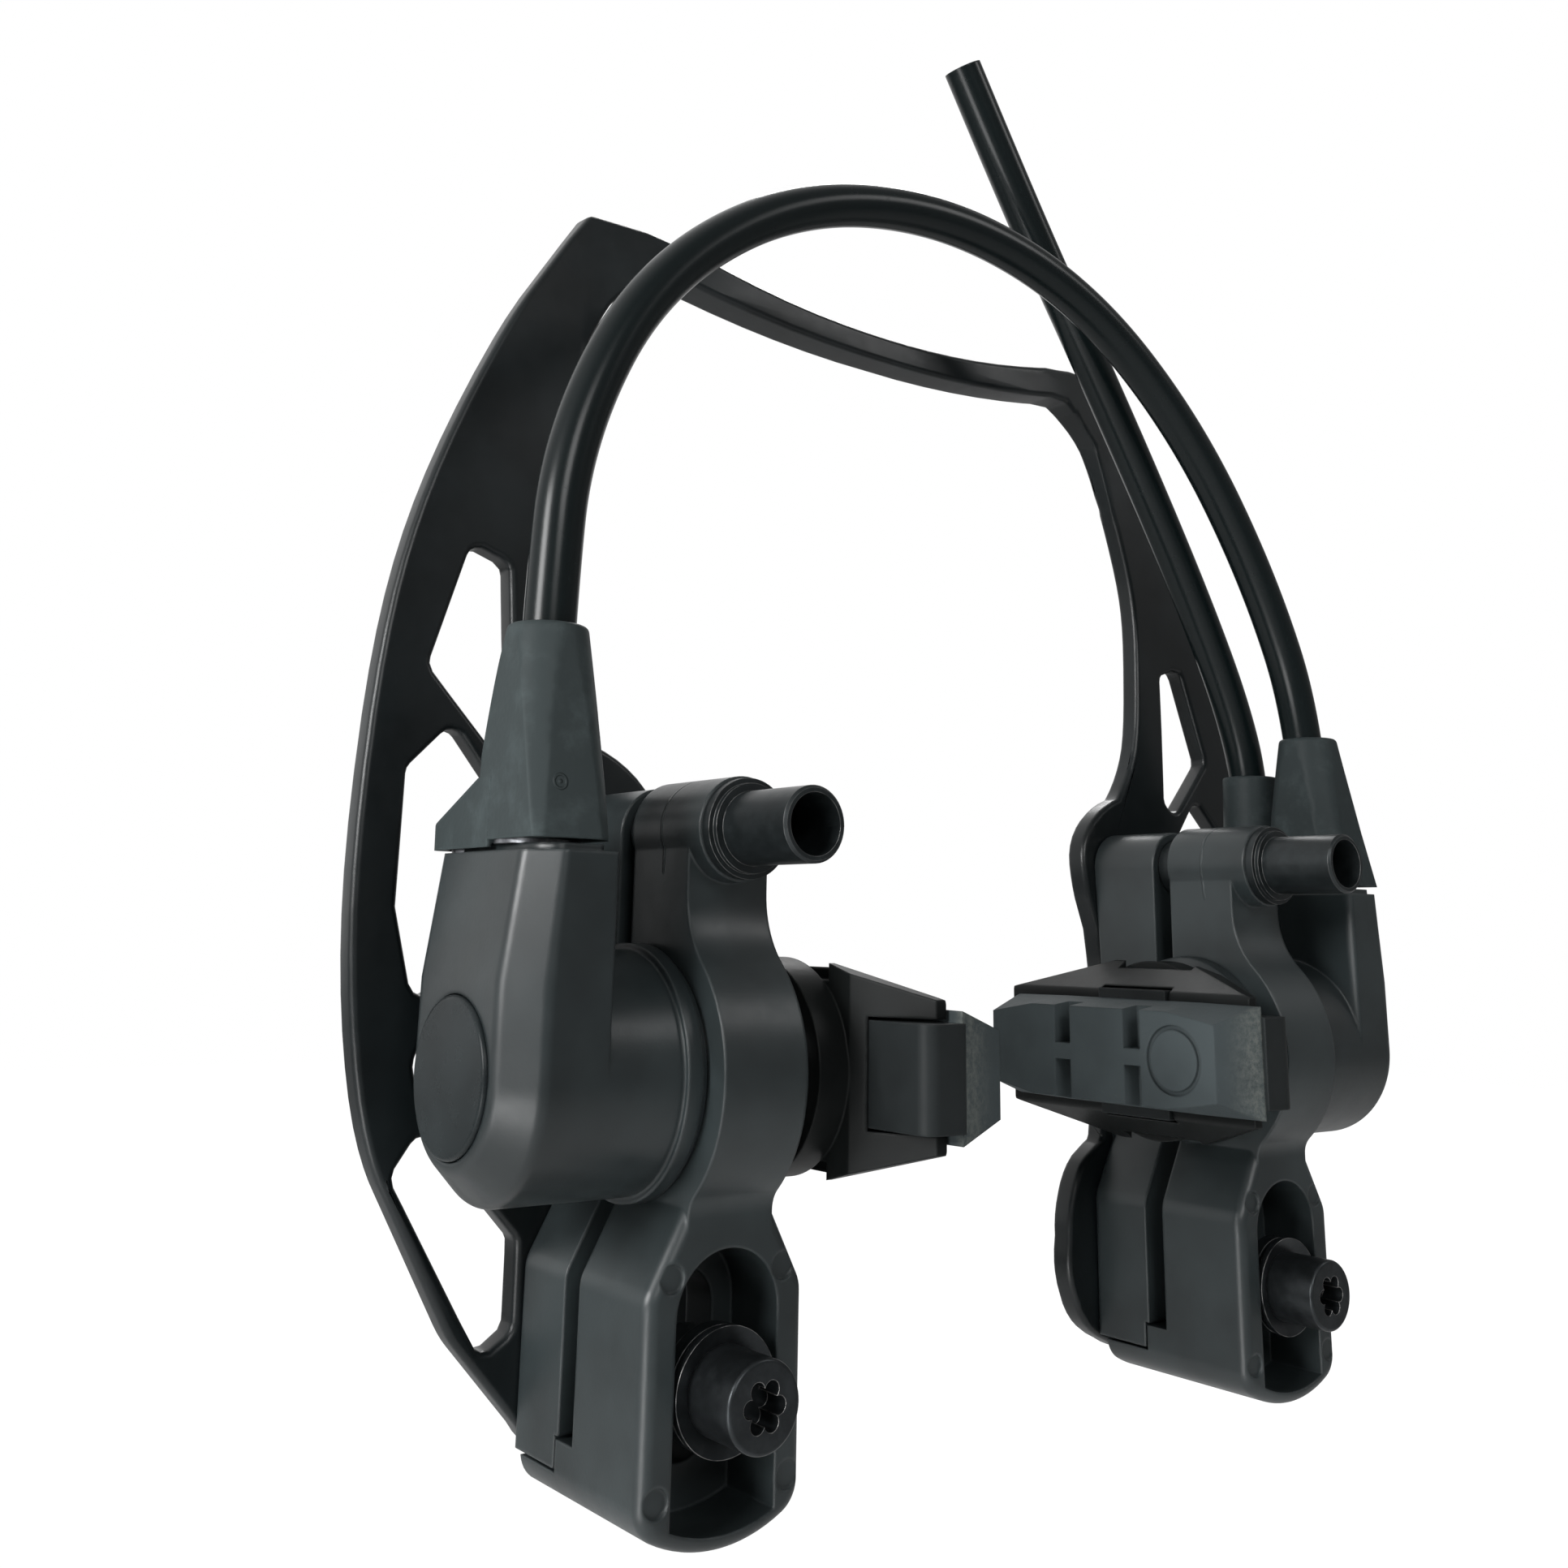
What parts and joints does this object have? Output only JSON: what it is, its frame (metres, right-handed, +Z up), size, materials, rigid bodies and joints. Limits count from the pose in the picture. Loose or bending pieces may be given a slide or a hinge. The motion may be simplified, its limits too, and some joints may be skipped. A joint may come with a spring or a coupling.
{
  "type": "hydraulic rim brake",
  "caption": "Bicycle rim brake with two hydraulic cylinders in split clamps, sliding pads, an arch-shaped booster and two hoses.",
  "frame": {"origin": "midway between the two mounting bolts, in the plane of the booster's back, where it meets the frame's brake bosses", "axes": "+X across the wheel to the right cylinder, +Y along the mounting bolts into the bosses, +Z up towards the arch"},
  "size_m": [0.1358, 0.046, 0.1646],
  "materials": {
    "booster_plastic": "satin black, moulded",
    "clamp_plastic": "satin black, moulded",
    "housing_plastic": "satin black, moulded",
    "holder_plastic": "satin black, moulded",
    "carrier_plastic": "matte black, moulded",
    "disc_plastic": "black, plain",
    "pad_compound": "matte dark grey compound",
    "seal_rubber": "matte black",
    "boot_rubber": "matte dark grey-black",
    "hose_plastic": "glossy black",
    "bolt_steel": "black oxide, edges a little worn",
    "sleeve_metal": "black anodised",
    "piston_metal": "plain turned",
    "fitting_metal": "bright turned"
  },
  "bodies": {
    "caliper": {"booster_arch": "booster_plastic", "left_front_clamp": "clamp_plastic", "left_rear_clamp": "clamp_plastic", "left_clamp_sleeve": "sleeve_metal", "left_cylinder": "housing_plastic", "left_end_disc": "disc_plastic", "left_hose_fitting": "fitting_metal", "left_hose_boot": "boot_rubber", "right_front_clamp": "clamp_plastic", "right_rear_clamp": "clamp_plastic", "right_clamp_sleeve": "sleeve_metal", "right_cylinder": "housing_plastic", "right_end_disc": "disc_plastic", "right_hose_fitting": "fitting_metal", "right_hose_boot": "boot_rubber", "left_bleed_screw": "fitting_metal", "supply_fitting": "fitting_metal", "supply_boot": "boot_rubber", "crossover_hose": "hose_plastic", "supply_hose": "hose_plastic"},
    "left_piston": {"left_piston": "piston_metal", "left_piston_seal": "seal_rubber", "left_pad_holder": "holder_plastic", "left_pad_carrier": "carrier_plastic", "left_brake_pad": "pad_compound"},
    "left_bolt": {"left_mounting_bolt": "bolt_steel", "left_dished_washer": "bolt_steel", "left_spacer_bush": "sleeve_metal"},
    "right_piston": {"right_piston": "piston_metal", "right_piston_seal": "seal_rubber", "right_pad_holder": "holder_plastic", "right_pad_carrier": "carrier_plastic", "right_brake_pad": "pad_compound"},
    "right_bolt": {"right_mounting_bolt": "bolt_steel", "right_dished_washer": "bolt_steel", "right_spacer_bush": "sleeve_metal"}
  },
  "joints": [
    {"name": "left_piston_slide", "type": "slide", "parent": "caliper", "child": "left_piston", "axis": [1, 0, 0], "range_m": [0, 0.004], "stiffness_N_per_m": 300},
    {"name": "right_piston_slide", "type": "slide", "parent": "caliper", "child": "right_piston", "axis": [-1, 0, 0], "range_m": [0, 0.004], "stiffness_N_per_m": 300},
    {"name": "left_bolt_slide", "type": "slide", "parent": "caliper", "child": "left_bolt", "axis": [0, 0, 1], "range_m": [-0.004, 0.0055]},
    {"name": "right_bolt_slide", "type": "slide", "parent": "caliper", "child": "right_bolt", "axis": [0, 0, 1], "range_m": [-0.004, 0.0055]}
  ],
  "couplings": [
    {"joint": "right_piston_slide", "follows": "left_piston_slide", "ratio": 1}
  ]
}
